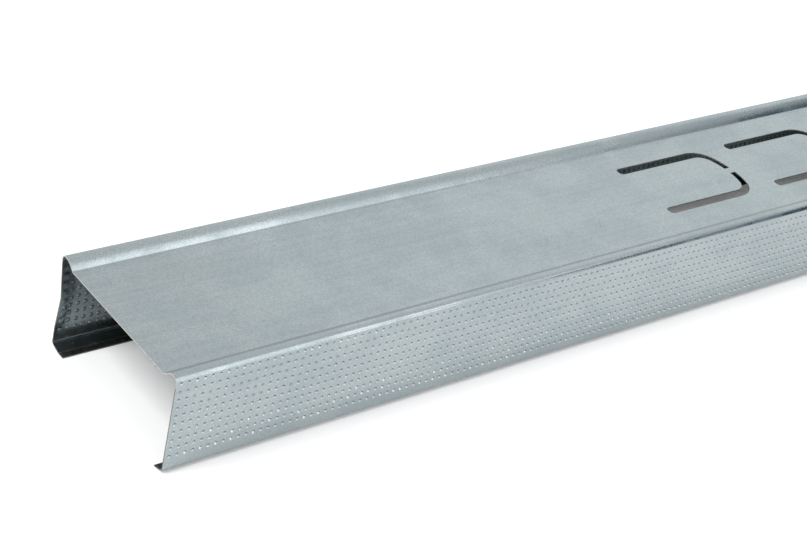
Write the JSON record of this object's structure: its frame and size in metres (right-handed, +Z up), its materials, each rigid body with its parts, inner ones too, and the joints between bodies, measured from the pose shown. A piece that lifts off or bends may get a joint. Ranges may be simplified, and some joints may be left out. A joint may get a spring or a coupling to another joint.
{
  "type": "drywall metal stud",
  "caption": "Roll-formed galvanised steel wall stud: a lipped channel with a sunk web, knurled flanges and U-shaped service slots, for framing drywall partitions.",
  "frame": {"origin": "centre of the footprint, on the floor under the lips", "axes": "+X along the stud, away from the cut end that the slots open towards; +Y across, towards the flange with the wider lip; +Z up, out of the web"},
  "size_m": [2.6, 0.0988, 0.052],
  "materials": {
    "galvanised_strip": "hot-dip galvanised, satin, pale blue-grey with a soft mottle"
  },
  "bodies": {
    "root": {"stud": "galvanised_strip"}
  },
  "joints": []
}
